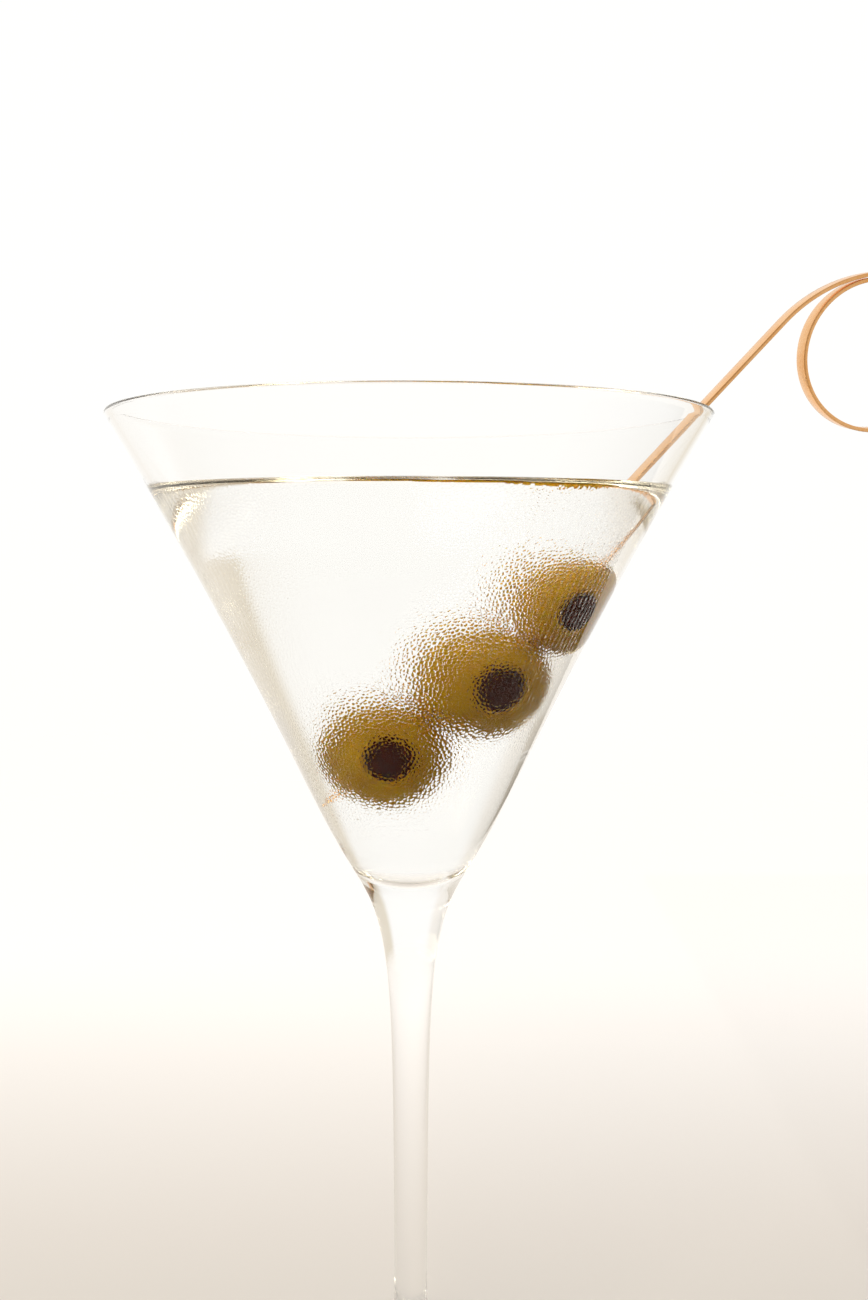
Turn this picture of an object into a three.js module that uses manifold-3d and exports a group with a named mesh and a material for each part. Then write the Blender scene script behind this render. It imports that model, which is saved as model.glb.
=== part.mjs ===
// A martini in a tall stemmed glass: a clear drink and three stuffed olives on a flat copper pick.
// Millimetres, +Z up. The origin is the centre of the foot's underside.
// The viewer of the garnish stands at -Y, and the pick's ring is at +X.

import * as THREE from 'three';
import { mergeVertices } from 'three/addons/utils/BufferGeometryUtils.js';
import Module from 'manifold-3d';

const wasm = await Module();
wasm.setup();

// Glass
const GLASS_HEIGHT = 181;
const RIM_RADIUS = 52;
const RIM_WALL = 1.2;
const BOWL_WALL = 2.2;
const BOWL_STATIONS = [[14.9, 110.2], [23.7, 128], [32.8, 145.7], [43.9, 166.2]];
const BOWL_STEPS = 8;
const BOWL_BOTTOM = 101;
const BOWL_BOTTOM_RADIUS = 13;
const BOWL_BOTTOM_STEPS = 5;
const WALL_LEAN = THREE.MathUtils.degToRad(27);
const THROAT_HEIGHT = 99.4;
const THROAT_RADIUS = 8.7;
const THROAT_FADE = 9.3;
const STEM_TOP_RADIUS = 3.3;
const STEM_FOOT_RADIUS = 2.85;
const STEM_FOOT_HEIGHT = 27;
const STEM_STEPS = 8;
const FOOT_RADIUS = 34;
const FOOT_EDGE = 1.8;
const FOOT_STATIONS = [[18.7, 3.3], [8.2, 5.8], [4.1, 11.5]];
const FOOT_STEPS = 7;
const ROUND_STEPS = 4;
const GLASS_SIDES = 48;

// Drink
const DRINK_LEVEL = 168.2;
const GAP = 0.3;

// Pick: a flat strip, straight as far as the bend and then curled into a ring
const PICK_THICKNESS = 0.65;
const PICK_WIDTH = 2.8;
const PICK_TIP_SCALE = 0.25;
const PICK_TAPER = 9;
const PICK_REST = new THREE.Vector3(50.5, -10.0, 183.4);
const PICK_TIP = new THREE.Vector3(-13.1, -5.0, 115.0);
const PICK_ROLL = THREE.MathUtils.degToRad(16.3);
const SHAFT_STEPS = 8;
const BEND_START = 17.2;
const BEND_RADIUS = 25.3;
const BEND_TURN = THREE.MathUtils.degToRad(38.9);
const RING_RADIUS = 13.1;
const RING_TAIL_RADIUS = 12.55;
const RING_TAIL_FROM = THREE.MathUtils.degToRad(273);
const RING_TAIL_TO = THREE.MathUtils.degToRad(425);
const CURL_STEP = THREE.MathUtils.degToRad(12);
const PICK_STEPS = 64;

// Olives, from the lowest up: the radius, half the length, the place along the pick from
// the rest point, how far the pick misses the middle, towards the ring and away from the viewer,
// and how far the stuffed end is turned to the right and dips
const OLIVES = [
  { radius: 9.1, half: 11.1, along: -79.6, side: 0, back: 0, turn: 4, dip: 3 },
  { radius: 9.4, half: 11.6, along: -60.7, side: 1.4, back: 0, turn: 21, dip: 8 },
  { radius: 8.5, half: 9.9, along: -42.6, side: 1.9, back: 2.5, turn: 19, dip: 14 },
];
const OLIVE_FULLNESS = 0.88;
const OLIVE_SIDES = 20;
const OLIVE_RINGS = 11;
const PIMENTO_SHARE = 0.38;
const PIMENTO_RECESS = 0.5;
const PIMENTO_DOME = 1.2;
const PIMENTO_SIDES = 16;
const BORE_REACH = 3;

const UP = new THREE.Vector3(0, 0, 1);
const UPRIGHT = new THREE.Matrix4().makeRotationX(Math.PI / 2);
const MERGE_DISTANCE = 1e-4;

// Solids: a closed geometry as a body that can be cut, and a cut body as a geometry
function solidOf(geometry, placement = new THREE.Matrix4()) {
  const bare = geometry.clone();
  bare.deleteAttribute('normal');
  bare.deleteAttribute('uv');
  bare.applyMatrix4(placement);
  const merged = mergeVertices(bare, MERGE_DISTANCE);
  const corners = merged.index.array;
  const triangles = [];
  for (let i = 0; i < corners.length; i += 3) {
    const [a, b, c] = corners.slice(i, i + 3);
    if (a !== b && b !== c && c !== a) triangles.push(a, b, c);
  }
  return new wasm.Manifold(new wasm.Mesh({
    numProp: 3,
    vertProperties: new Float32Array(merged.attributes.position.array),
    triVerts: new Uint32Array(triangles),
  }));
}

function geometryOf(solid) {
  const mesh = solid.getMesh();
  const geometry = new THREE.BufferGeometry();
  geometry.setAttribute('position', new THREE.BufferAttribute(mesh.vertProperties, 3));
  geometry.setIndex(new THREE.BufferAttribute(mesh.triVerts, 1));
  geometry.computeVertexNormals();
  return geometry;
}

function piece(name, solid, look) {
  const mesh = new THREE.Mesh(geometryOf(solid), new THREE.MeshStandardMaterial(look));
  mesh.name = name;
  return mesh;
}

function turned(profile, sides) {
  return new THREE.LatheGeometry(profile, sides);
}

function splineThrough(stations) {
  return new THREE.SplineCurve(stations.map(([x, y]) => new THREE.Vector2(x, y)));
}

function arc(centreX, centreY, radius, from, to, steps) {
  const points = [];
  for (let i = 0; i <= steps; i += 1) {
    const angle = from + (to - from) * i / steps;
    points.push(new THREE.Vector2(centreX + radius * Math.cos(angle), centreY + radius * Math.sin(angle)));
  }
  return points;
}

// Glass: the outside of the bowl is a cone, drawn in a little at mid height
const bowlOutside = splineThrough([
  [THROAT_RADIUS, THROAT_HEIGHT],
  ...BOWL_STATIONS,
  [RIM_RADIUS, GLASS_HEIGHT - RIM_WALL / 2],
]);

function wallAt(height) {
  const share = (height - BOWL_BOTTOM) / (GLASS_HEIGHT - BOWL_BOTTOM);
  return THREE.MathUtils.lerp(BOWL_WALL, RIM_WALL, THREE.MathUtils.clamp(share, 0, 1));
}

// The hollow of the bowl, from the axis up to a height, moved in by a clearance:
// a round bottom, and from where the wall leans the same way on, the wall
function hollow(top, clearance) {
  const seat = BOWL_BOTTOM_RADIUS - clearance;
  const seatCentre = BOWL_BOTTOM + BOWL_BOTTOM_RADIUS;
  const outside = bowlOutside.getSpacedPoints(BOWL_STEPS);
  const wall = outside
    .map((p) => new THREE.Vector2(p.x - wallAt(p.y) - clearance, p.y))
    .filter((p) => p.y < top && p.x > 0 && p.y > seatCentre - seat * Math.sin(WALL_LEAN));
  const round = arc(0, seatCentre, seat, -Math.PI / 2, -WALL_LEAN, BOWL_BOTTOM_STEPS);
  round[0].x = 0;
  return [...round, ...wall];
}

function stemRadius(height) {
  const share = (height - STEM_FOOT_HEIGHT) / (THROAT_HEIGHT - STEM_FOOT_HEIGHT);
  const flare = (THROAT_RADIUS - STEM_TOP_RADIUS) * Math.exp((height - THROAT_HEIGHT) / THROAT_FADE);
  return THREE.MathUtils.lerp(STEM_FOOT_RADIUS, STEM_TOP_RADIUS, share) + flare;
}

function stemProfile() {
  const points = [];
  for (let i = 0; i < STEM_STEPS; i += 1) {
    const share = Math.sqrt(i / STEM_STEPS);
    const height = THREE.MathUtils.lerp(STEM_FOOT_HEIGHT, THROAT_HEIGHT, share);
    points.push(new THREE.Vector2(stemRadius(height), height));
  }
  return points;
}

function footProfile() {
  const round = FOOT_EDGE / 2;
  const top = splineThrough([
    [FOOT_RADIUS - round, FOOT_EDGE],
    ...FOOT_STATIONS,
    [stemRadius(STEM_FOOT_HEIGHT), STEM_FOOT_HEIGHT],
  ]);
  const edge = arc(FOOT_RADIUS - round, round, round, -Math.PI / 2, Math.PI / 2, ROUND_STEPS);
  return [new THREE.Vector2(0, 0), ...edge.slice(0, -1), ...top.getPoints(FOOT_STEPS).slice(0, -1)];
}

function glassProfile() {
  const lip = RIM_WALL / 2;
  const over = arc(RIM_RADIUS - lip, GLASS_HEIGHT - lip, lip, 0, Math.PI, ROUND_STEPS);
  const inside = hollow(GLASS_HEIGHT - lip, 0).reverse();
  const outside = bowlOutside.getSpacedPoints(BOWL_STEPS).slice(0, -1);
  return [...footProfile(), ...stemProfile(), ...outside, ...over, ...inside];
}

const glassSolid = solidOf(turned(glassProfile(), GLASS_SIDES), UPRIGHT);

// Garnish frame: X runs up the pick, Y points from the pick to the middle of its ring
const along = PICK_REST.clone().sub(PICK_TIP);
const pickLength = along.length();
along.normalize();
const towardViewer = along.clone().cross(UP).normalize().applyAxisAngle(along, PICK_ROLL);
const toRing = towardViewer.clone().cross(along).negate();
const garnish = new THREE.Group();
garnish.position.copy(PICK_REST);
garnish.quaternion.setFromRotationMatrix(
  new THREE.Matrix4().makeBasis(along, toRing, towardViewer.clone().negate()),
);
garnish.updateMatrix();

// The pick's middle line: shaft, wide bend, ring, and the tail that tucks in under the bend
function pickLine() {
  const points = [];
  for (let i = 0; i < SHAFT_STEPS; i += 1) {
    const reach = THREE.MathUtils.lerp(-pickLength, BEND_START, i / SHAFT_STEPS);
    points.push(new THREE.Vector3(reach, 0, 0));
  }
  const curl = (centre, radius, from, to) => {
    const steps = Math.round((to - from) / CURL_STEP);
    for (let i = 0; i < steps; i += 1) {
      const angle = from + (to - from) * i / steps;
      points.push(new THREE.Vector3(
        centre.x + radius * Math.sin(angle),
        centre.y - radius * Math.cos(angle),
        0,
      ));
    }
  };
  const shifted = (centre, angle, distance) => new THREE.Vector2(
    centre.x + distance * Math.sin(angle),
    centre.y - distance * Math.cos(angle),
  );
  const bendCentre = new THREE.Vector2(BEND_START, BEND_RADIUS);
  const ringCentre = shifted(bendCentre, BEND_TURN, BEND_RADIUS - RING_RADIUS);
  const tailCentre = shifted(ringCentre, RING_TAIL_FROM, RING_RADIUS - RING_TAIL_RADIUS);
  curl(bendCentre, BEND_RADIUS, 0, BEND_TURN);
  curl(ringCentre, RING_RADIUS, BEND_TURN, RING_TAIL_FROM);
  curl(tailCentre, RING_TAIL_RADIUS, RING_TAIL_FROM, RING_TAIL_TO);
  return new THREE.CatmullRomCurve3(points);
}

function strip(width, thickness) {
  const section = new THREE.Shape();
  section.moveTo(-width / 2, -thickness / 2);
  section.lineTo(width / 2, -thickness / 2);
  section.lineTo(width / 2, thickness / 2);
  section.lineTo(-width / 2, thickness / 2);
  section.closePath();
  return section;
}

function pickGeometry() {
  const geometry = new THREE.ExtrudeGeometry(strip(PICK_WIDTH, PICK_THICKNESS), {
    steps: PICK_STEPS,
    extrudePath: pickLine(),
    bevelEnabled: false,
  });
  const places = geometry.attributes.position;
  for (let i = 0; i < places.count; i += 1) {
    const fromTip = places.getX(i) + pickLength;
    if (fromTip < PICK_TAPER) {
      const scale = THREE.MathUtils.lerp(PICK_TIP_SCALE, 1, Math.max(fromTip, 0) / PICK_TAPER);
      places.setY(i, places.getY(i) * scale);
      places.setZ(i, places.getZ(i) * scale);
    }
  }
  return geometry;
}

// The channel that the shaft needs, a gap wider than the strip all round
function channel(from, to) {
  const box = new THREE.BoxGeometry(to - from, PICK_THICKNESS + 2 * GAP, PICK_WIDTH + 2 * GAP);
  return box.translate((from + to) / 2, 0, 0);
}

// Olives and their stuffing, in the garnish frame: the lathe axis is turned to the stuffed end
function olivePlacement(olive) {
  const turn = THREE.MathUtils.degToRad(olive.turn);
  const dip = THREE.MathUtils.degToRad(olive.dip);
  const end = new THREE.Vector3(
    Math.sin(turn) * Math.cos(dip),
    -Math.cos(turn) * Math.cos(dip),
    -Math.sin(dip),
  );
  end.applyQuaternion(garnish.quaternion.clone().invert());
  const lean = new THREE.Quaternion().setFromUnitVectors(new THREE.Vector3(0, 1, 0), end);
  const place = new THREE.Vector3(olive.along, olive.side, olive.back);
  return new THREE.Matrix4().compose(place, lean, new THREE.Vector3(1, 1, 1));
}

function oliveGeometry(olive, clearance) {
  const profile = [];
  for (let i = 0; i <= OLIVE_RINGS; i += 1) {
    const angle = Math.PI * i / OLIVE_RINGS;
    const inner = i > 0 && i < OLIVE_RINGS;
    const radius = inner ? (olive.radius + clearance) * Math.sin(angle) ** OLIVE_FULLNESS : 0;
    profile.push(new THREE.Vector2(radius, -(olive.half + clearance) * Math.cos(angle)));
  }
  return turned(profile, OLIVE_SIDES);
}

// Half the length of the stuffing, as far as the skin of the olive less a recess
function pimentoHalf(olive) {
  const open = PIMENTO_SHARE ** (1 / OLIVE_FULLNESS);
  return olive.half * Math.sqrt(1 - open * open) - PIMENTO_RECESS;
}

function pimentoGeometry(olive) {
  const radius = olive.radius * PIMENTO_SHARE - GAP;
  const half = pimentoHalf(olive);
  const profile = [];
  for (const side of [-1, 1]) {
    const end = [0, 0.5, 1].map((share) => new THREE.Vector2(
      radius * Math.sin(share * Math.PI / 2),
      side * (half - PIMENTO_DOME * (1 - Math.cos(share * Math.PI / 2))),
    ));
    profile.push(...(side < 0 ? end : end.reverse()));
  }
  return turned(profile, PIMENTO_SIDES);
}

function boreGeometry(olive) {
  const radius = olive.radius * PIMENTO_SHARE;
  return new THREE.CylinderGeometry(radius, radius, BORE_REACH * olive.half, PIMENTO_SIDES);
}

const oliveLook = { color: 0xa8923a, roughness: 0.35, metalness: 0 };
const pimentoLook = { color: 0x8a2417, roughness: 0.45, metalness: 0 };
const pickLook = { color: 0xc98d5a, roughness: 0.25, metalness: 1 };
const shaft = solidOf(channel(-pickLength, BEND_START));

OLIVES.forEach((olive, i) => {
  const placement = olivePlacement(olive);
  const bore = solidOf(boreGeometry(olive), placement);
  const flesh = solidOf(oliveGeometry(olive, 0), placement).subtract(bore).subtract(shaft);
  const stuffing = solidOf(pimentoGeometry(olive), placement).subtract(shaft);
  garnish.add(piece(`olive_${i + 1}`, flesh, oliveLook));
  garnish.add(piece(`pimento_${i + 1}`, stuffing, pimentoLook));
});
garnish.add(piece('pick', solidOf(pickGeometry()), pickLook));

// Drink: what fills the hollow up to its level, cut round the garnish
function drinkSolid() {
  const profile = hollow(DRINK_LEVEL, GAP);
  const brim = profile.at(-1);
  const share = (DRINK_LEVEL - brim.y) / (GLASS_HEIGHT - brim.y);
  const rimInside = RIM_RADIUS - RIM_WALL - GAP;
  profile.push(new THREE.Vector2(THREE.MathUtils.lerp(brim.x, rimInside, share), DRINK_LEVEL));
  profile.push(new THREE.Vector2(0, DRINK_LEVEL));
  const filled = solidOf(turned(profile, GLASS_SIDES), UPRIGHT);
  const immersed = solidOf(channel(-pickLength - GAP, BEND_START), garnish.matrix);
  return OLIVES.reduce((drink, olive) => {
    const placement = garnish.matrix.clone().multiply(olivePlacement(olive));
    return drink.subtract(solidOf(oliveGeometry(olive, GAP), placement));
  }, filled.subtract(immersed));
}

const martini = new THREE.Group();
martini.add(piece('glass', glassSolid, { color: 0xeef3f1, roughness: 0.04, metalness: 0 }));
martini.add(piece('drink', drinkSolid(), { color: 0xf4f1e6, roughness: 0.03, metalness: 0 }));
martini.add(garnish);

export default martini;
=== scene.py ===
# %% [markdown]
# # A martini in its glass
# The real object is a tall cone glass, filled with a clear drink. Three stuffed olives hang in it on
# a flat copper pick, and the cold bowl is covered with dew. The solids of all of that are already
# there, at their true size, as a frame. This lesson makes the surfaces that the eye sees.

# %% Load the frame
import math

import bpy
import numpy as np
from mathutils import Matrix, Quaternion, Vector
from mathutils.kdtree import KDTree


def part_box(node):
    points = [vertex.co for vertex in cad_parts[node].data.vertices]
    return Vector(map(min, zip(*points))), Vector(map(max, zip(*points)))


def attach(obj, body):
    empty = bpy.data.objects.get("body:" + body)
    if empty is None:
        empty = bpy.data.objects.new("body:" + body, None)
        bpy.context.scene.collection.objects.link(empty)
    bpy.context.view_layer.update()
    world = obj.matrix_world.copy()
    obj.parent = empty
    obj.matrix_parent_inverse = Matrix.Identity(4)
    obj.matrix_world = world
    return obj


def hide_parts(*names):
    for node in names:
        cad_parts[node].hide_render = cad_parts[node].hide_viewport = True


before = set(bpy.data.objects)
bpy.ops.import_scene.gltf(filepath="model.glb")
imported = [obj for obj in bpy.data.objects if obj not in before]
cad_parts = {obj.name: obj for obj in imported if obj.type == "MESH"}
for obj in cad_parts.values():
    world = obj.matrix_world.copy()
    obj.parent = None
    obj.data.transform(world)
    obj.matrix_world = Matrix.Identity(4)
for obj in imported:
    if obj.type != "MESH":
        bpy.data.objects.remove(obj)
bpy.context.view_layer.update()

MM = 0.001
print("frame nodes:", sorted(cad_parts))

# %% [markdown]
# ## Camera
# The photographer stood close, with a wide lens, a little below the rim: the near edge of the rim is
# the upper one. A level camera keeps the stem upright. The picture is then framed by shifting the
# lens down, as an architect's camera does, and not by tilting it. The picture is upright, so the
# sensor's long side is its height.

# %% Camera
IMAGE_HEIGHT = 1300
FOCAL_PIXELS = 1120
HORIZON_PIXEL = 522
CAMERA_PLACE = Vector((4.1, -197.6, 162.5)) * MM

lens = bpy.data.cameras.new("camera")
lens.lens = FOCAL_PIXELS / IMAGE_HEIGHT * lens.sensor_width
lens.shift_y = (HORIZON_PIXEL - IMAGE_HEIGHT / 2) / IMAGE_HEIGHT
lens.clip_start = 0.01
camera = bpy.data.objects.new("camera", lens)
camera.location = CAMERA_PLACE
camera.rotation_euler = (math.radians(90), 0, 0)
bpy.context.scene.collection.objects.link(camera)
bpy.context.scene.camera = camera
print(f"camera: lens {lens.lens:.1f} mm, shift {lens.shift_y:.4f}")

# %% [markdown]
# ## Outlines that are turned
# The glass, the drink, the olives and their stuffing are all round about an axis. By hand, such a
# piece is drawn as half an outline and turned with the spin operator. Here a plane is merged to one
# vertex, the vertex is extruded from point to point, and the chain of edges is spun. This gives clean
# rings of faces, which matter in glass: every unevenness of the mesh would bend the light.

# %% Helpers for turned pieces
SMOOTH_ANGLE = math.radians(50)
WELD = 1e-6
WELD_ENDS = 1e-7


def deselect():
    if bpy.context.object and bpy.context.object.mode == "EDIT":
        bpy.ops.object.mode_set(mode="OBJECT")
    bpy.ops.object.select_all(action="DESELECT")


def arc(centre, radius, start, end, steps):
    """Points of a round stretch, from one angle to another, in degrees."""
    angles = np.radians(np.linspace(start, end, steps + 1))
    return [(centre[0] + radius * math.cos(a), centre[1] + radius * math.sin(a)) for a in angles]


def spline(stations, steps):
    """Points of a smooth line through the stations."""
    p = np.array([stations[0], *stations, stations[-1]], float)
    line = []
    for i in range(1, len(p) - 2):
        for t in np.linspace(0, 1, steps, endpoint=False):
            slope_a = (p[i + 1] - p[i - 1]) / 2
            slope_b = (p[i + 2] - p[i]) / 2
            bend = 2 * (p[i] - p[i + 1]) + slope_a + slope_b
            lift = 3 * (p[i + 1] - p[i]) - 2 * slope_a - slope_b
            line.append(tuple(p[i] + t * (slope_a + t * (lift + t * bend))))
    return [*line, tuple(p[-2])]


def turned(name, outline, sides, closed=False):
    """A solid of revolution about Z, from its half outline of (radius, height) in millimetres."""
    deselect()
    bpy.ops.mesh.primitive_plane_add(size=MM, enter_editmode=True)
    piece = bpy.context.object
    piece.name = piece.data.name = name
    bpy.ops.mesh.select_mode(type="VERT")
    bpy.ops.mesh.select_all(action="SELECT")
    bpy.ops.mesh.merge(type="CENTER")
    points = [Vector((r, 0, z)) * MM for r, z in outline]
    bpy.ops.transform.translate(value=points[0])
    for here, there in zip(points, points[1:]):
        bpy.ops.mesh.extrude_region_move(TRANSFORM_OT_translate={"value": there - here})
    bpy.ops.mesh.select_all(action="SELECT")
    if closed:
        bpy.ops.mesh.remove_doubles(threshold=WELD_ENDS)
    bpy.ops.mesh.spin(steps=sides, angle=math.tau, center=(0, 0, 0), axis=(0, 0, 1))
    bpy.ops.mesh.select_all(action="SELECT")
    bpy.ops.mesh.remove_doubles(threshold=WELD)
    bpy.ops.mesh.normals_make_consistent(inside=False)
    bpy.ops.object.mode_set(mode="OBJECT")
    bpy.ops.object.shade_smooth_by_angle(angle=SMOOTH_ANGLE)
    print(f"{name}: {len(piece.data.polygons)} faces")
    return piece


# %% [markdown]
# ## Materials: one shared effect
# Olive flesh, stuffing and rolled copper are all a little uneven in tone. The same node group gives
# them that: two noises of different size, mixed to one mask. Each material then uses the mask in its
# own way. Clear glass, water and drink have no pattern that the eye finds, so there the mask changes
# the tone by no more than one or two parts in a hundred.

# %% Node group: uneven tone
def uneven_group():
    group = bpy.data.node_groups.new("uneven_tone", "ShaderNodeTree")
    for label, default in (("Broad Scale", 120.0), ("Fine Scale", 900.0), ("Fine Share", 0.35)):
        socket = group.interface.new_socket(label, in_out="INPUT", socket_type="NodeSocketFloat")
        socket.default_value = default
    group.interface.new_socket("Mask", in_out="OUTPUT", socket_type="NodeSocketFloat")
    nodes, links = group.nodes, group.links
    given = nodes.new("NodeGroupInput")
    out = nodes.new("NodeGroupOutput")
    place = nodes.new("ShaderNodeTexCoord")
    noises = []
    for label in ("Broad Scale", "Fine Scale"):
        noise = nodes.new("ShaderNodeTexNoise")
        noise.inputs["Detail"].default_value = 3
        links.new(place.outputs["Object"], noise.inputs["Vector"])
        links.new(given.outputs[label], noise.inputs["Scale"])
        noises.append(noise)
    mix = nodes.new("ShaderNodeMix")
    links.new(given.outputs["Fine Share"], mix.inputs["Factor"])
    links.new(noises[0].outputs["Fac"], mix.inputs["A"])
    links.new(noises[1].outputs["Fac"], mix.inputs["B"])
    links.new(mix.outputs["Result"], out.inputs["Mask"])
    return group


UNEVEN = uneven_group()


def new_material(name):
    material = bpy.data.materials.new(name)
    material.use_nodes = True
    return material, material.node_tree.nodes, material.node_tree.links


def uneven_tone(nodes, broad, fine, share):
    node = nodes.new("ShaderNodeGroup")
    node.node_tree = UNEVEN
    node.inputs["Broad Scale"].default_value = broad
    node.inputs["Fine Scale"].default_value = fine
    node.inputs["Fine Share"].default_value = share
    return node


# %% Clear material
CLEAR_UNEVEN = 0.985


def colour_ramp(nodes, links, value, stops):
    ramp = nodes.new("ShaderNodeValToRGB")
    while len(ramp.color_ramp.elements) < len(stops):
        ramp.color_ramp.elements.new(1)
    for element, (position, colour) in zip(ramp.color_ramp.elements, stops):
        element.position = position
        element.color = (*colour, 1)
    links.new(value, ramp.inputs["Fac"])
    return ramp.outputs["Color"]


def clear_material(name, colour, ior, shine):
    """Clear and smooth. The shine is the share of the full mirror image that its surface gives."""
    material, nodes, links = new_material(name)
    shader = nodes["Principled BSDF"]
    mask = uneven_tone(nodes, 40, 260, 0.3).outputs["Mask"]
    tones = [(0, [CLEAR_UNEVEN * c for c in colour]), (1, colour)]
    links.new(colour_ramp(nodes, links, mask, tones), shader.inputs["Base Color"])
    shader.inputs["Transmission Weight"].default_value = 1
    shader.inputs["IOR"].default_value = ior
    shader.inputs["Specular Tint"].default_value = (shine, shine, shine, 1)
    shader.inputs["Roughness"].default_value = 0
    return material


# %% [markdown]
# ## The glass
# One solid: foot, drawn stem, and a cone that is a little hollow at mid height. The wall gets thinner
# towards the rim, and the rim is fire polished, so its edge is round. The foot has the full shine of
# glass. The bowl has little of it, because a mirror image of the pale floor would lie on the dark
# olives as a grey veil, where a photographer would turn it away with a filter.

# %% Glass outline
_, glass_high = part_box("glass")
RIM_RADIUS = glass_high.x / MM
GLASS_HEIGHT = glass_high.z / MM
RIM_WALL = 1.2
BOWL_WALL = 2.2
BOWL_STATIONS = [(14.9, 110.2), (23.7, 128), (32.8, 145.7), (43.9, 166.2)]
BOWL_BOTTOM = 101
BOWL_BOTTOM_RADIUS = 13
WALL_LEAN = 27
SEAT_GAP = 1
THROAT_HEIGHT = 99.4
THROAT_RADIUS = 8.7
THROAT_FADE = 9.3
STEM_TOP_RADIUS = 3.3
STEM_FOOT_RADIUS = 2.85
STEM_FOOT_HEIGHT = 27
FOOT_RADIUS = 34
FOOT_EDGE = 1.8
FOOT_STATIONS = [(18.7, 3.3), (8.2, 5.8), (4.1, 11.5)]
BOWL_STEPS, SEAT_STEPS, STEM_STEPS, FOOT_STEPS = 8, 14, 32, 14
FOOT_EDGE_STEPS, RIM_STEPS = 8, 10

bowl_outside = spline(
    [(THROAT_RADIUS, THROAT_HEIGHT), *BOWL_STATIONS, (RIM_RADIUS, GLASS_HEIGHT - RIM_WALL / 2)],
    BOWL_STEPS,
)


def wall_at(height):
    share = (height - BOWL_BOTTOM) / (GLASS_HEIGHT - BOWL_BOTTOM)
    return BOWL_WALL + (RIM_WALL - BOWL_WALL) * min(max(share, 0), 1)


def bowl_inside(top, offset=0.0):
    """The hollow of the bowl from the axis up to a height, moved out by an offset."""
    seat = BOWL_BOTTOM_RADIUS + offset
    centre = BOWL_BOTTOM + BOWL_BOTTOM_RADIUS
    seat_top = centre - seat * math.sin(math.radians(WALL_LEAN))
    wall = [(r - wall_at(z) + offset, z) for r, z in bowl_outside if seat_top + SEAT_GAP < z < top]
    return [(0, centre - seat), *arc((0, centre), seat, -90, -WALL_LEAN, SEAT_STEPS)[1:], *wall]


def stem_radius(height):
    share = (height - STEM_FOOT_HEIGHT) / (THROAT_HEIGHT - STEM_FOOT_HEIGHT)
    flare = (THROAT_RADIUS - STEM_TOP_RADIUS) * math.exp((height - THROAT_HEIGHT) / THROAT_FADE)
    return STEM_FOOT_RADIUS + (STEM_TOP_RADIUS - STEM_FOOT_RADIUS) * share + flare


# %% Glass
GLASS_COLOUR, GLASS_IOR = (1.0, 1.0, 0.995), 1.5
BOWL_SHINE, FOOT_SHINE = 0.08, 1.0
ROUND_SIDES = 160

edge = FOOT_EDGE / 2
lip = RIM_WALL / 2
foot_edge = arc((FOOT_RADIUS - edge, edge), edge, -90, 90, FOOT_EDGE_STEPS)
stem_end = (stem_radius(STEM_FOOT_HEIGHT), STEM_FOOT_HEIGHT)
foot_top = spline([(FOOT_RADIUS - edge, FOOT_EDGE), *FOOT_STATIONS, stem_end], FOOT_STEPS)
stem_heights = np.linspace(STEM_FOOT_HEIGHT, THROAT_HEIGHT, STEM_STEPS)[1:-1]
stem = [(stem_radius(z), z) for z in stem_heights]
rim = arc((RIM_RADIUS - lip, GLASS_HEIGHT - lip), lip, 0, 180, RIM_STEPS)
glass_outline = [
    (0, 0), *foot_edge, *foot_top[1:-1], *stem, *bowl_outside[:-1], *rim,
    *reversed(bowl_inside(GLASS_HEIGHT - lip)),
]
glass = turned("clear_glass", glass_outline, ROUND_SIDES)
for name, shine in (("clear_glass", BOWL_SHINE), ("clear_foot", FOOT_SHINE)):
    glass.data.materials.append(clear_material(name, GLASS_COLOUR, GLASS_IOR, shine))
for face in glass.data.polygons:
    face.material_index = int(face.center.z < STEM_FOOT_HEIGHT * MM)
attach(glass, "root")
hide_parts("glass")

# %% [markdown]
# ## The drink
# A clear liquid has no surface of its own against the glass: the light must go from one to the other
# with no air between. The usual way is to let the liquid reach a hair into the wall. At the top it
# climbs the wall in a small curve, the meniscus, which shows as a dark line.

# %% Drink
WALL_OVERLAP = 0.15
DRINK_LEVEL = 168.2
MENISCUS_RISE = 0.8
MENISCUS_REACH = 1.0
MENISCUS_STEPS, LEVEL_STEPS = 16, 14
MENISCUS_END, LEVEL_FROM = 6, 8
CONTACT_GAP = 0.3
DRINK_COLOUR, DRINK_IOR = (0.997, 0.994, 0.984), 1.345

contact = DRINK_LEVEL + MENISCUS_RISE
wall_line = bowl_inside(GLASS_HEIGHT, WALL_OVERLAP)
contact_radius = float(np.interp(contact, [z for _, z in wall_line], [r for r, _ in wall_line]))
away = np.concatenate([
    np.linspace(0, MENISCUS_END, MENISCUS_STEPS), np.linspace(LEVEL_FROM, contact_radius, LEVEL_STEPS)
])
surface = [
    (contact_radius - d, DRINK_LEVEL + MENISCUS_RISE * math.exp(-d / MENISCUS_REACH)) for d in away
]
surface[-1] = (0, DRINK_LEVEL)
drink_outline = [*(p for p in wall_line if p[1] < contact - CONTACT_GAP), *surface]
drink = turned("clear_drink", drink_outline, ROUND_SIDES)
drink.data.materials.append(clear_material("clear_drink", DRINK_COLOUR, DRINK_IOR, 0))
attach(drink, "root")
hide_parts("drink")

# %% [markdown]
# ## The garnish's own frame
# The olives hang on the pick, so they are placed along it. The pick rests on the rim at one point and
# its tip is near the bottom of the bowl. X runs up the pick, and Y points to the middle of its ring.

# %% Garnish frame
PICK_REST = Vector((50.5, -10.0, 183.4))
PICK_TIP = Vector((-13.1, -5.0, 115.0))
PICK_ROLL = math.radians(16.3)

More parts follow.
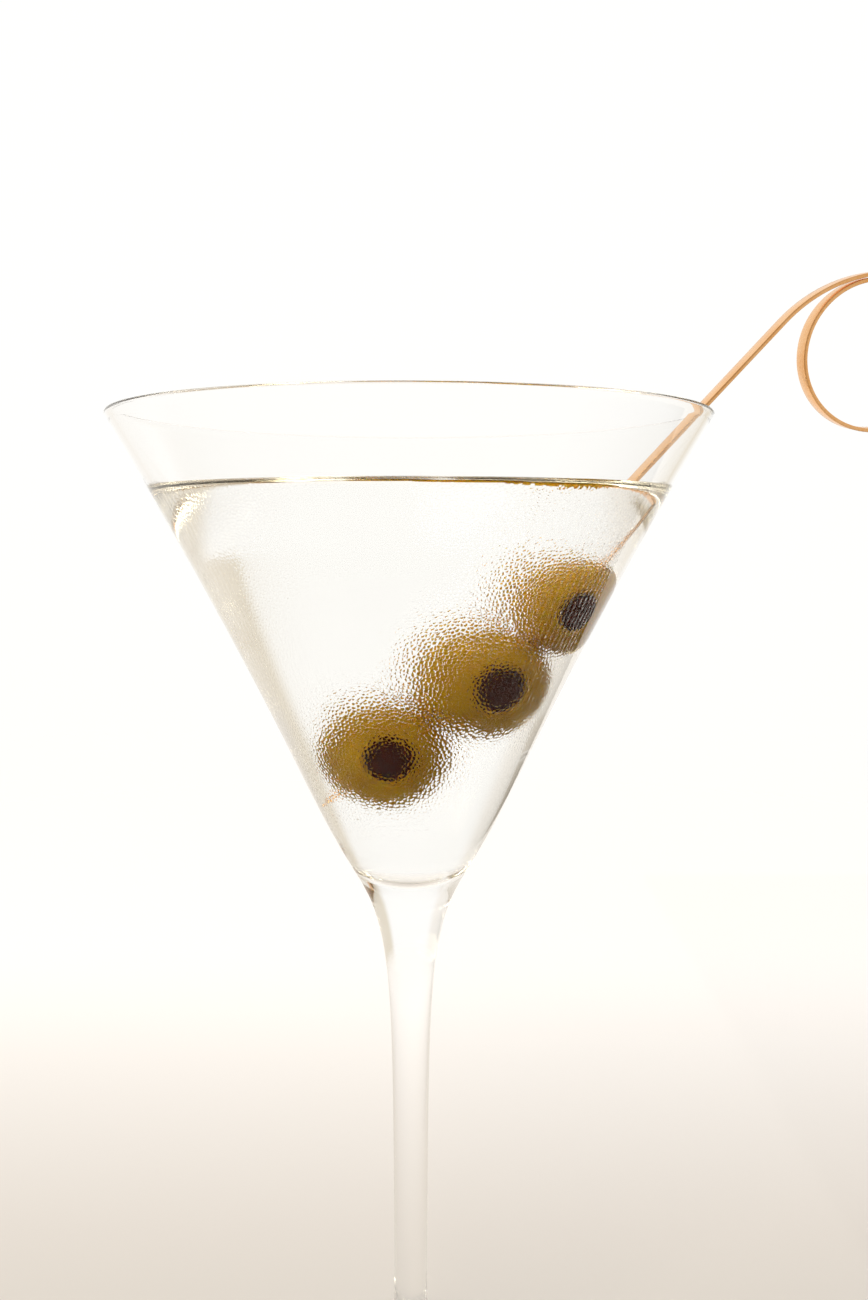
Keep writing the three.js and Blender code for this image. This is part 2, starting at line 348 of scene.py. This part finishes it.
along = (PICK_REST - PICK_TIP).normalized()
pick_length = (PICK_REST - PICK_TIP).length
to_viewer = Quaternion(along, PICK_ROLL) @ along.cross(Vector((0, 0, 1))).normalized()
to_ring = along.cross(to_viewer)
garnish_turn = Matrix((along, to_ring, -to_viewer)).transposed()
garnish_place = Matrix.Translation(PICK_REST * MM) @ garnish_turn.to_4x4()
print("garnish axes:", along, to_ring)


def place_and_apply(piece, matrix):
    piece.matrix_world = matrix
    deselect()
    piece.select_set(True)
    bpy.context.view_layer.objects.active = piece
    bpy.ops.object.transform_apply(location=True, rotation=True, scale=True)


# %% [markdown]
# ## The pick
# A flat strip of copper, cut to a point, and curled round a mandrel into a ring. By hand: a cube as
# the shaft, its one end extruded and shrunk to the point, its other end spun round three centres, one
# after the other, for the wide bend, the ring, and the tail that tucks in under the bend.

# %% Pick: sizes and helpers
PICK_THICKNESS = 0.65
PICK_WIDTH = 2.8
PICK_TAPER = 9
PICK_TIP_SCALE = 0.2
BEND_START = 17.2
BEND_RADIUS = 25.3
BEND_TURN = 38.9
RING_RADIUS = 13.1
RING_TAIL_RADIUS = 12.55
RING_TAIL_FROM = 273
RING_TAIL_TO = 425
BEND_STEPS, RING_STEPS, TAIL_STEPS = 16, 72, 48
PICK_EDGE = 0.16
PICK_EDGE_STEPS = 3
PICK_EDGE_ANGLE = math.radians(40)


def select_end(piece, direction):
    """Selects the face that lies furthest along a direction, in edit mode."""
    bpy.ops.mesh.select_all(action="DESELECT")
    bpy.ops.object.mode_set(mode="OBJECT")
    mesh = piece.data
    reach = [f.center.dot(direction) for f in mesh.polygons]
    furthest = max(range(len(reach)), key=reach.__getitem__)
    mesh.polygons[furthest].select = True
    bpy.ops.object.mode_set(mode="EDIT")


def shifted(centre, angle, distance):
    a = math.radians(angle)
    return (centre[0] + distance * math.sin(a), centre[1] - distance * math.cos(a))


# %% Pick: the shaft and its point
deselect()
shaft_from = -pick_length + PICK_TAPER
bpy.ops.mesh.primitive_cube_add(size=1, enter_editmode=True)
pick = bpy.context.object
pick.name = pick.data.name = "copper_pick"
bpy.ops.mesh.select_mode(type="FACE")
bpy.ops.transform.resize(value=Vector((BEND_START - shaft_from, PICK_THICKNESS, PICK_WIDTH)) * MM)
bpy.ops.transform.translate(value=Vector(((BEND_START + shaft_from) / 2, 0, 0)) * MM)
select_end(pick, Vector((-1, 0, 0)))
bpy.ops.mesh.extrude_region_move(TRANSFORM_OT_translate={"value": Vector((-PICK_TAPER, 0, 0)) * MM})
bpy.ops.transform.resize(value=(1, PICK_TIP_SCALE, PICK_TIP_SCALE))
print("shaft:", round(BEND_START - shaft_from, 1), "mm and a point of", PICK_TAPER, "mm")

# %% Pick: the bend and the ring
select_end(pick, Vector((1, 0, 0)))
bend_centre = (BEND_START, BEND_RADIUS)
ring_centre = shifted(bend_centre, BEND_TURN, BEND_RADIUS - RING_RADIUS)
tail_centre = shifted(ring_centre, RING_TAIL_FROM, RING_RADIUS - RING_TAIL_RADIUS)
for centre, turn, steps in (
    (bend_centre, BEND_TURN, BEND_STEPS),
    (ring_centre, RING_TAIL_FROM - BEND_TURN, RING_STEPS),
    (tail_centre, RING_TAIL_TO - RING_TAIL_FROM, TAIL_STEPS),
):
    bpy.ops.mesh.spin(
        steps=steps, angle=-math.radians(turn), center=Vector((*centre, 0)) * MM, axis=(0, 0, 1)
    )
bpy.ops.mesh.select_all(action="SELECT")
bpy.ops.mesh.remove_doubles(threshold=WELD)
bpy.ops.mesh.normals_make_consistent(inside=False)
bpy.ops.object.mode_set(mode="OBJECT")
rounding = pick.modifiers.new("rolled_edges", "BEVEL")
rounding.width = PICK_EDGE * MM
rounding.segments = PICK_EDGE_STEPS
rounding.limit_method = "ANGLE"
rounding.angle_limit = PICK_EDGE_ANGLE
bpy.ops.object.modifier_apply(modifier=rounding.name)
bpy.ops.object.shade_smooth_by_angle(angle=SMOOTH_ANGLE)
place_and_apply(pick, garnish_place)
print("pick:", len(pick.data.polygons), "faces, box", [round(c / MM, 1) for c in pick.dimensions])

# %% [markdown]
# ## The pick's copper
# Rolled copper is a bare metal, with fine streaks of lighter and darker tone. The uneven mask chooses
# between the two through a colour ramp, which is quicker to tune than a mix of painted layers.

# %% Copper
DARK_COPPER, LIGHT_COPPER = (0.84, 0.43, 0.16), (0.97, 0.63, 0.35)


def copper_material():
    material, nodes, links = new_material("rolled_copper")
    shader = nodes["Principled BSDF"]
    mask = uneven_tone(nodes, 160, 2400, 0.5).outputs["Mask"]
    colour = colour_ramp(nodes, links, mask, [(0.3, DARK_COPPER), (0.7, LIGHT_COPPER)])
    links.new(colour, shader.inputs["Base Color"])
    shader.inputs["Metallic"].default_value = 1
    shader.inputs["Roughness"].default_value = 0.24
    return material


pick.data.materials.append(copper_material())
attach(pick, "root")
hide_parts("pick")

# %% [markdown]
# ## The olives
# A pitted olive is a barrel with a round hole through it. Its outline is drawn as a closed loop, the
# skin outside and the hole inside, and spun. A displace modifier then takes away the lathe's
# perfection. The stuffing is a plug in the hole, domed and wrinkled at its end. In the glass the
# olives press against each other, so each is a hair thicker than its solid, which must stand clear.

# %% Olives: outlines
OLIVES = [
    {"radius": 9.1, "half": 11.1, "along": -79.6, "side": 0, "back": 0, "turn": 4, "dip": 3},
    {"radius": 9.4, "half": 11.6, "along": -60.7, "side": 1.4, "back": 0, "turn": 21, "dip": 8},
    {"radius": 8.5, "half": 9.9, "along": -42.6, "side": 1.9, "back": 2.5, "turn": 19, "dip": 14},
]
OLIVE_FULLNESS = 0.88
OLIVE_SWELL = 0.3
HOLE_SHARE = 0.39
HOLE_LIP = 0.7
PLUG_OVERLAP = 0.1
PLUG_SUNK = 0.25
PLUG_DOME = 1.1
SKIN_POINTS, LIP_STEPS, DOME_POINTS = 44, 5, 10
for olive in OLIVES:
    olive["radius"] += OLIVE_SWELL


def mouth_angle(olive, hole):
    """Where the skin ends at the hole, as an angle from the olive's axis."""
    return math.asin(((hole + HOLE_LIP) / olive["radius"]) ** (1 / OLIVE_FULLNESS))


def olive_outline(olive):
    hole = olive["radius"] * HOLE_SHARE
    start = mouth_angle(olive, hole)
    skin = []
    for a in np.linspace(start, math.pi - start, SKIN_POINTS):
        radius = olive["radius"] * math.sin(a) ** OLIVE_FULLNESS
        skin.append((radius, olive["half"] * math.cos(a)))
    top = skin[0][1]
    front = arc((hole + HOLE_LIP, top - HOLE_LIP), HOLE_LIP, 180, 90, LIP_STEPS)[:-1]
    back = arc((hole + HOLE_LIP, HOLE_LIP - top), HOLE_LIP, 270, 180, LIP_STEPS)[1:]
    return [*front, *skin, *back, front[0]]


def stuffing_outline(olive):
    hole = olive["radius"] * HOLE_SHARE + PLUG_OVERLAP
    end = olive["half"] * math.cos(mouth_angle(olive, hole)) - PLUG_SUNK
    angles = np.linspace(0, math.pi / 2, DOME_POINTS)
    dome = [(hole * math.sin(a), end - PLUG_DOME * (1 - math.cos(a))) for a in angles]
    return [*dome, *((r, -z) for r, z in reversed(dome))]


def roughen(piece, size, strength):
    cloud = bpy.data.textures.new(f"{piece.name}_cloud", "CLOUDS")
    cloud.noise_scale = size * MM
    swell = piece.modifiers.new("swell", "DISPLACE")
    swell.texture = cloud
    swell.strength = strength * MM
    swell.texture_coords = "LOCAL"
    deselect()
    piece.select_set(True)
    bpy.context.view_layer.objects.active = piece
    bpy.ops.object.modifier_apply(modifier=swell.name)


def garnish_matrix(olive):
    turn, dip = math.radians(olive["turn"]), math.radians(olive["dip"])
    end = Vector((math.sin(turn) * math.cos(dip), -math.cos(turn) * math.cos(dip), -math.sin(dip)))
    place = PICK_REST + along * olive["along"] + to_ring * olive["side"] - to_viewer * olive["back"]
    return Matrix.Translation(place * MM) @ end.to_track_quat("Z", "Y").to_matrix().to_4x4()


# %% [markdown]
# ## Olive skin and stuffing
# Light goes a little way into an olive and comes out again, so its skin glows where plain paint would
# look dull: that is subsurface scattering, and red light goes furthest. The stuffing is soft and wet,
# and its red is darkened nearly to black with painted shade, the shade that lies on it in the hole.
# Under the drink a wet thing has no highlights.

# %% Olives: materials
DARK_SKIN, LIGHT_SKIN = (0.58, 0.30, 0.003), (0.74, 0.43, 0.010)
# painted shade: the stuffing's two reds are darkened nearly to black, for the shade on the plug in its
# hole
SHADED_PLUG_DARK, SHADED_PLUG_LIGHT = (0.035, 0.002, 0.0006), (0.095, 0.009, 0.001)


def olive_material():
    material, nodes, links = new_material("olive_skin")
    shader = nodes["Principled BSDF"]
    mask = uneven_tone(nodes, 150, 1400, 0.3).outputs["Mask"]
    colour = colour_ramp(nodes, links, mask, [(0.3, DARK_SKIN), (0.72, LIGHT_SKIN)])
    links.new(colour, shader.inputs["Base Color"])
    bump = nodes.new("ShaderNodeBump")
    bump.inputs["Strength"].default_value = 0.15
    bump.inputs["Distance"].default_value = 0.2 * MM
    links.new(mask, bump.inputs["Height"])
    links.new(bump.outputs["Normal"], shader.inputs["Normal"])
    shader.inputs["Roughness"].default_value = 0.35
    shader.inputs["Specular IOR Level"].default_value = 0.08
    shader.inputs["Subsurface Weight"].default_value = 0.6
    shader.inputs["Subsurface Radius"].default_value = (1.0, 0.6, 0.12)
    shader.inputs["Subsurface Scale"].default_value = 1.5 * MM
    return material


def stuffing_material():
    material, nodes, links = new_material("shaded_stuffing")
    shader = nodes["Principled BSDF"]
    mask = uneven_tone(nodes, 300, 1800, 0.4).outputs["Mask"]
    # the uneven mask picks between the two painted-shade reds
    colour = colour_ramp(nodes, links, mask, [(0.3, SHADED_PLUG_DARK), (0.75, SHADED_PLUG_LIGHT)])
    links.new(colour, shader.inputs["Base Color"])
    shader.inputs["Roughness"].default_value = 0.6
    shader.inputs["Specular IOR Level"].default_value = 0.0
    return material


# %% Olives: made and placed
OLIVE_SIDES, PLUG_SIDES = 64, 40
FLESH_LUMPS, PLUG_LUMPS = (8, 9, 10), (2.5, 2.8, 3.1)
LUMP_HEIGHT = 0.5

olive_skin = olive_material()
shaded_stuffing = stuffing_material()
for number, olive in enumerate(OLIVES, 1):
    flesh = turned(f"olive_flesh_{number}", olive_outline(olive), OLIVE_SIDES, closed=True)
    roughen(flesh, FLESH_LUMPS[number - 1], LUMP_HEIGHT)
    flesh.data.materials.append(olive_skin)
    plug = turned(f"olive_stuffing_{number}", stuffing_outline(olive), PLUG_SIDES)
    roughen(plug, PLUG_LUMPS[number - 1], LUMP_HEIGHT)
    plug.data.materials.append(shaded_stuffing)
    pieces = ((flesh, f"olive_{number}", "olive"), (plug, f"pimento_{number}", "pimento"))
    for piece, node, slot in pieces:
        place_and_apply(piece, garnish_matrix(olive))
        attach(piece, "root")
        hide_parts(node)

# %% [markdown]
# ## The dew
# Cold glass draws water from the air. The drops are small and close together, and they cover the
# viewer's side of the bowl where the drink cools it. Each drop is a little lens, so the outlines of
# the olives break up into grain. Modelling thousands of drops by hand is out of the question: they
# are one mesh, made from arrays, with six sides to a drop.

# %% Dew: where the drops are
DEW_SPACING = 0.68
DEW_ROW = 0.87 * DEW_SPACING
DEW_SHAKE = 0.4 * DEW_SPACING
DEW_SEED = 4
DEW_FROM, DEW_TO = 106.0, DRINK_LEVEL - 0.6
DEW_MIDDLE, DEW_SPREAD = -92, 62
LEAN_STEP = 0.5

outside = np.array(bowl_outside)
travelled = np.concatenate([[0], np.cumsum(np.hypot(*np.diff(outside, axis=0).T))])


def on_bowl(distance, angles):
    """Places and outward directions on the bowl, from the way up its side and the angle round it."""
    (r, z), ahead, behind = (
        [np.interp(distance + step, travelled, outside[:, i]) for i in (0, 1)]
        for step in (0, LEAN_STEP, -LEAN_STEP)
    )
    lean = np.arctan2(ahead[0] - behind[0], ahead[1] - behind[1])
    places = np.stack([r * np.cos(angles), r * np.sin(angles), z], 1)
    outward = np.stack([
        np.cos(angles) * np.cos(lean), np.sin(angles) * np.cos(lean), -np.sin(lean)
    ], 1)
    return places, outward


def scattered_drops(random):
    """Rows up the bowl, shaken, so that no drop is on a grid."""
    low, high = np.interp([DEW_FROM, DEW_TO], outside[:, 1], travelled)
    first, last = (math.radians(DEW_MIDDLE + side * DEW_SPREAD) for side in (-1, 1))
    distances, angles = [], []
    for distance in np.arange(low, high, DEW_ROW):
        radius = np.interp(distance, travelled, outside[:, 0])
        count = int((last - first) * radius / DEW_SPACING)
        shake = random.uniform(-DEW_SHAKE, DEW_SHAKE, (2, count))
        steps = (np.arange(count) + random.uniform()) / count
        distances.append(distance + shake[0])
        angles.append(first + (last - first) * steps + shake[1] / radius)
    return on_bowl(np.concatenate(distances), np.concatenate(angles))


dew_place, dew_outward = scattered_drops(np.random.default_rng(DEW_SEED))
print(f"dew: {len(dew_place)} drops")

# %% [markdown]
# ## How high the drops stand
# Drops that are tall for their width bend the light most. They are tall in front of the olives and
# low round the sides of the bowl and over the plain drink, where the glass looks nearly clear.

# %% Dew: heights
DEW_RISE = 0.95
DEW_FULL = 28
CALM_SIDES, CALM_BEND = 0.93, 0.4
DEW_NEAR, DEW_FADE = 12.5, 5.0
CALM_PLAIN = 0.82

olive_middles = np.array([garnish_matrix(olive).translation / MM for olive in OLIVES])


def drop_rise(places):
    """The height of each drop, as a share of its mean radius."""
    aside = np.abs(np.degrees(np.arctan2(places[:, 1], places[:, 0])) - DEW_MIDDLE)
    aside = np.minimum(aside, 360 - aside)
    sideways = np.clip((aside - DEW_FULL) / (DEW_SPREAD - DEW_FULL), 0, 1)
    apart = places[:, None] - olive_middles
    nearest = np.hypot(apart[..., 0], apart[..., 2]).min(1)
    off_olive = np.clip((nearest - DEW_NEAR) / DEW_FADE, 0, 1)
    return DEW_RISE * (1 - CALM_SIDES * sideways ** CALM_BEND) * (1 - CALM_PLAIN * off_olive)


dew_rise = drop_rise(dew_place)
print(f"dew: rise from {dew_rise.min():.2f} to {dew_rise.max():.2f}")

# %% [markdown]
# ## The mesh of the drops
# Real drops grow until they meet. Here every drop looks in several directions how far it can go
# before it is halfway to a neighbour, and puts its six corners where it has most room. So the drops
# cover the glass with hardly a gap and without cutting into each other.

# %% Dew: the room of each drop
DEW_CLEAR = 0.985
DEW_LARGEST = 0.5
NEIGHBOURS = 9
FACING = 1e-6


def room_round(places, across, upward, angles):
    """How far a drop can spread in each of some directions before it meets a neighbour halfway."""
    tree = KDTree(len(places))
    for i, place in enumerate(places):
        tree.insert(place, i)
    tree.balance()
    near = np.array([[j for _, j, _ in tree.find_n(p, NEIGHBOURS + 1)[1:]] for p in places])
    offset = places[near] - places[:, None]
    flat = np.stack([(offset * axis[:, None]).sum(2) for axis in (across, upward)], 2)
    half = (flat ** 2).sum(2) / 2
    room = np.empty((len(places), len(angles)))
    for k, angle in enumerate(angles):
        facing = flat[:, :, 0] * math.cos(angle) + flat[:, :, 1] * math.sin(angle)
        reach = np.where(facing > FACING, half / np.maximum(facing, FACING), DEW_LARGEST)
        room[:, k] = np.minimum(reach.min(1), DEW_LARGEST)
    return room * DEW_CLEAR


# %% Dew: the mesh
DEW_SIDES = 6
DEW_SUNK = 0.005
TRIED_ANGLES = 8
WATER_COLOUR, WATER_IOR = (1, 1, 1), 1.333


def drop_corners(places, outward, rise, sides):
    """The corners of all drops: the ring of each, then its top."""
    count = len(places)
    across = np.cross(outward, (0, 0, 1))
    across /= np.linalg.norm(across, axis=1, keepdims=True)
    upward = np.cross(outward, across)
    tried = np.arange(sides * TRIED_ANGLES) * math.tau / (sides * TRIED_ANGLES)
    room = room_round(places, across, upward, tried).reshape(count, sides, TRIED_ANGLES)
    best = room.argmax(2)
    room = room.max(2)
    angles = tried.reshape(sides, TRIED_ANGLES)[np.arange(sides), best]
    ring_points = [
        places - outward * DEW_SUNK
        + (across * np.cos(angles[:, k:k + 1]) + upward * np.sin(angles[:, k:k + 1])) * room[:, k:k + 1]
        for k in range(sides)
    ]
    apex = places + outward * room.mean(1, keepdims=True) * rise[:, None]
    return np.stack([*ring_points, apex], 1).reshape(-1, 3) * MM


def drops_mesh(name, vertices, sides):
    """A dome of triangles and a flat base for each drop, with a sharp edge between them."""
    count = len(vertices) // (sides + 1)
    ring = np.arange(sides)
    domes = np.stack([ring, np.roll(ring, -1), np.full(sides, sides)], 1)
    corners = np.concatenate([domes.ravel(), ring[::-1]])
    loops = (np.arange(count)[:, None] * (sides + 1) + corners).ravel()
    face_sizes = np.tile([3] * sides + [sides], count)
    mesh = bpy.data.meshes.new(name)
    mesh.vertices.add(len(vertices))
    mesh.vertices.foreach_set("co", vertices.ravel())
    mesh.loops.add(len(loops))
    mesh.loops.foreach_set("vertex_index", loops)
    mesh.polygons.add(len(face_sizes))
    mesh.polygons.foreach_set("loop_start", np.concatenate([[0], np.cumsum(face_sizes)[:-1]]))
    mesh.polygons.foreach_set("use_smooth", np.tile([True] * sides + [False], count))
    mesh.update(calc_edges=True)
    mesh.validate()
    ends = np.empty(len(mesh.edges) * 2, int)
    mesh.edges.foreach_get("vertices", ends)
    on_ring = (ends.reshape(-1, 2) % (sides + 1) != sides).all(1)
    mesh.edges.foreach_set("use_edge_sharp", on_ring)
    piece = bpy.data.objects.new(name, mesh)
    bpy.context.scene.collection.objects.link(piece)
    print(f"{name}: {count} drops, {count * (2 * sides - 2)} triangles")
    return piece


dew = drops_mesh("dew_drops", drop_corners(dew_place, dew_outward, dew_rise, DEW_SIDES), DEW_SIDES)
dew.data.materials.append(clear_material("dew_water", WATER_COLOUR, WATER_IOR, 0))
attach(dew, "root")

# %% [markdown]
# ## Floor
# A plain pale disc. Its glow is painted light: warm and a little dim near the glass, lighter behind it,
# and fading out towards its edge. It lies a hair below the foot: if the two touched, the light under
# the foot would be caught in the glass, and the foot would look like a grey plate.

# %% Floor
FLOOR_RADIUS = 0.9
FLOOR_SIDES = 96
FLOOR_DROP = 0.3 * MM
FLOOR_FRONT, FLOOR_BACK = -0.06, 0.24
FADE_FROM, FADE_TO = 0.3, 0.75
# painted light: the floor's own glow, dim and warm in front near the glass and brighter behind it
FLOOR_PAINTED_LIGHT = [
    (0.0, (0.37, 0.345, 0.32)), (0.1, (0.40, 0.37, 0.345)), (0.24, (0.42, 0.385, 0.355)),
    (0.35, (0.47, 0.43, 0.40)), (1.0, (0.80, 0.77, 0.745)),
]
FLOOR_COLOUR = (0.25, 0.245, 0.24)

deselect()
bpy.ops.mesh.primitive_circle_add(
    vertices=FLOOR_SIDES, radius=FLOOR_RADIUS, fill_type="NGON", location=(0, 0, -FLOOR_DROP)
)
floor = bpy.context.object
floor.name = floor.data.name = "floor"


def map_range(nodes, links, value, start, end):
    node = nodes.new("ShaderNodeMapRange")
    node.interpolation_type = "SMOOTHSTEP"
    node.inputs["From Min"].default_value = start
    node.inputs["From Max"].default_value = end
    links.new(value, node.inputs["Value"])
    return node.outputs["Result"]


def floor_material():
    """Painted light: the floor glows warm and a little dim near the glass, lighter behind it, and is
    gone at its edge.
    """
    material, nodes, links = new_material("pale_floor")
    shader = nodes["Principled BSDF"]
    place = nodes.new("ShaderNodeTexCoord")
    split = nodes.new("ShaderNodeSeparateXYZ")
    links.new(place.outputs["Object"], split.inputs["Vector"])
    length = nodes.new("ShaderNodeVectorMath")
    length.operation = "LENGTH"
    links.new(place.outputs["Object"], length.inputs[0])
    behind = map_range(nodes, links, split.outputs["Y"], FLOOR_FRONT, FLOOR_BACK)
    links.new(colour_ramp(nodes, links, behind, FLOOR_PAINTED_LIGHT), shader.inputs["Emission Color"])
    shader.inputs["Emission Strength"].default_value = 1
    shader.inputs["Base Color"].default_value = (*FLOOR_COLOUR, 1)
    shader.inputs["Roughness"].default_value = 0.9
    fade = map_range(nodes, links, length.outputs["Value"], FADE_TO, FADE_FROM)
    links.new(fade, shader.inputs["Alpha"])
    return material


floor.data.materials.append(floor_material())
print("floor:", FLOOR_RADIUS, "m in radius")

# %% [markdown]
# ## Light from behind
# A drink in clear glass is lit from behind: the wall behind is white, and it is the light. In front
# the room is dim and brown, and without it a clear glass before a white wall would hardly be seen.
# The sides are plain tones. A full glass is a strong lens, so its left wall shows what is at the
# right, and its right wall what is at the left. This gives the walls their soft warm shading.

# %% Light from behind
OVERHEAD_SHARE = 0.55
FRONT_TO_BACK = [
    (0.0, (0.38, 0.29, 0.17)), (0.36, (0.40, 0.33, 0.23)), (0.48, (0.56, 0.50, 0.42)),
    (0.6, (0.74, 0.69, 0.61)), (0.74, (0.92, 0.885, 0.83)), (0.88, (1.01, 0.995, 0.97)),
    (1.0, (1.03, 1.02, 0.995)),
]
SIDE_TONES = [(0.36, 0.52, (0.80, 0.73, 0.61)), (-0.36, -0.52, (0.96, 0.92, 0.86))]


def studio_world():
    world = bpy.data.worlds.new("studio")
    world.use_nodes = True
    nodes, links = world.node_tree.nodes, world.node_tree.links
    place = nodes.new("ShaderNodeTexCoord")
    split = nodes.new("ShaderNodeSeparateXYZ")
    links.new(place.outputs["Generated"], split.inputs["Vector"])
    reach = nodes.new("ShaderNodeMapRange")
    reach.inputs["From Min"].default_value = -1
    reach.inputs["From Max"].default_value = 1
    lift = nodes.new("ShaderNodeMath")
    lift.operation = "MULTIPLY_ADD"
    lift.inputs[1].default_value = OVERHEAD_SHARE
    links.new(split.outputs["Z"], lift.inputs[0])
    links.new(split.outputs["Y"], lift.inputs[2])
    links.new(lift.outputs["Value"], reach.inputs["Value"])
    glow = colour_ramp(nodes, links, reach.outputs["Result"], FRONT_TO_BACK)
    for start, end, tone in SIDE_TONES:
        side = nodes.new("ShaderNodeMix")
        side.data_type = "RGBA"
        links.new(map_range(nodes, links, split.outputs["X"], start, end), side.inputs["Factor"])
        links.new(glow, side.inputs[6])
        side.inputs[7].default_value = (*tone, 1)
        glow = side.outputs[2]
    links.new(glow, nodes["Background"].inputs["Color"])
    return world


bpy.context.scene.world = studio_world()
print("world:", len(FRONT_TO_BACK), "tones from front to back,", len(SIDE_TONES), "at the sides")

# %% [markdown]
# ## Soft light from the front
# With light from behind alone the olives would be black shapes. A large warm lamp, in front and to
# the left, brings out their colour. It is hidden from mirror images, where it would make hard spots.

# %% Soft light from the front
FRONT_WATTS = 5.0
FRONT_COLOUR = (1.0, 0.9, 0.66)
FRONT_SIZE = 0.5
FRONT_PLACE = Vector((-0.25, -0.5, 0.4))
FRONT_AIM = Vector((0, 0, 0.14))

front = bpy.data.lights.new("front_light", "AREA")
front.energy = FRONT_WATTS
front.color = FRONT_COLOUR
front.shape = "DISK"
front.size = FRONT_SIZE
front_lamp = bpy.data.objects.new("front_light", front)
front_lamp.location = FRONT_PLACE
front_lamp.rotation_euler = (FRONT_AIM - FRONT_PLACE).to_track_quat("-Z", "Y").to_euler()
front_lamp.visible_glossy = False
bpy.context.scene.collection.objects.link(front_lamp)
print("front light:", FRONT_WATTS, "W")

# %% [markdown]
# ## A dark card
# The bright floor at the right is mirrored in the bowl just where the third olive is, and its image
# lies over the stuffing, whose red is darkened with painted shade. Photographers lay a black card
# there. This one shows only in mirror images, so the floor itself stays pale.

# %% Dark card
CARD_MIDDLE = (0.35, 0.12, 0.0005)
CARD_SIZE = (0.5, 0.4)
CARD_DARK, CARD_LIGHT = (0.035, 0.025, 0.015), (0.05, 0.035, 0.02)


def card_material():
    material, nodes, links = new_material("dark_card")
    shader = nodes["Principled BSDF"]
    mask = uneven_tone(nodes, 20, 200, 0.5).outputs["Mask"]
    colour = colour_ramp(nodes, links, mask, [(0.3, CARD_DARK), (0.7, CARD_LIGHT)])
    links.new(colour, shader.inputs["Base Color"])
    shader.inputs["Roughness"].default_value = 0.9
    return material


deselect()
bpy.ops.mesh.primitive_plane_add(size=1, location=CARD_MIDDLE)
card = bpy.context.object
card.name = card.data.name = "dark_card"
card.scale = (*CARD_SIZE, 1)
card.data.materials.append(card_material())
card.visible_camera = card.visible_diffuse = card.visible_transmission = card.visible_shadow = False
print("dark card, seen only in reflections")

# %% [markdown]
# ## How the picture is taken
# At the drink's line the light goes back and forth between glass and drink many times. A path that is
# cut short is black, and there the line would be too. So the limits are set high.

# %% How the picture is taken
LIGHT_BOUNCES = 64
TRANSPARENT_BOUNCES = 24

scene = bpy.context.scene
scene.view_settings.view_transform = "Standard"
scene.cycles.max_bounces = LIGHT_BOUNCES
scene.cycles.transmission_bounces = LIGHT_BOUNCES
scene.cycles.glossy_bounces = LIGHT_BOUNCES
scene.cycles.transparent_max_bounces = TRANSPARENT_BOUNCES
print("bounces:", LIGHT_BOUNCES)
